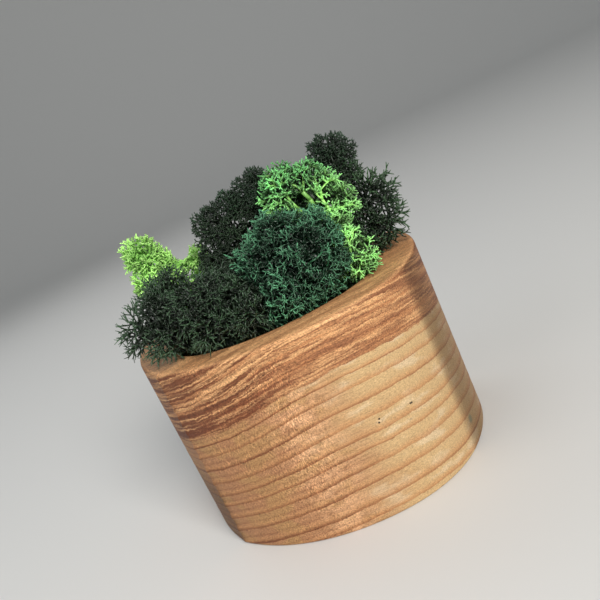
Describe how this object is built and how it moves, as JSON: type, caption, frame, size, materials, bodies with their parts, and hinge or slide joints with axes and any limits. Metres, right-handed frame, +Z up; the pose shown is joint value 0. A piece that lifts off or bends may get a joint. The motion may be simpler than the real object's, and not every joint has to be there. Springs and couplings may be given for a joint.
{
  "type": "moss planter",
  "caption": "Carved oval wooden block with a pocket, filled with tufts of preserved reindeer moss in dark, teal, bright and lime greens.",
  "frame": {"origin": "middle of the block's flat base", "axes": "+Z up, -Y towards the front face that the picture shows, +X to the right along that face"},
  "size_m": [0.1103, 0.0892, 0.1155],
  "materials": {
    "wood": "oiled and brushed softwood, pale sapwood below, red-brown heartwood above, satin",
    "foam": "dry flower foam, matt",
    "moss_black_green": "preserved reindeer moss, matt, finely branched",
    "moss_teal_green": "preserved reindeer moss, matt, finely branched",
    "moss_bright_green": "preserved reindeer moss, matt, finely branched",
    "moss_dark_green": "preserved reindeer moss, matt, finely branched",
    "moss_lime_green": "preserved reindeer moss, matt, finely branched"
  },
  "bodies": {
    "root": {"wooden_block": "wood", "foam_bed": "foam", "tuft_front_left_black_green": "moss_black_green", "tuft_front_teal": "moss_teal_green", "tuft_bright_green": "moss_bright_green", "tuft_back_left_dark_green": "moss_dark_green", "tuft_top_right_dark_green": "moss_dark_green", "tuft_right_dark_green": "moss_dark_green", "tuft_back_left_lime": "moss_lime_green", "tuft_back_green": "moss_teal_green"}
  },
  "joints": []
}
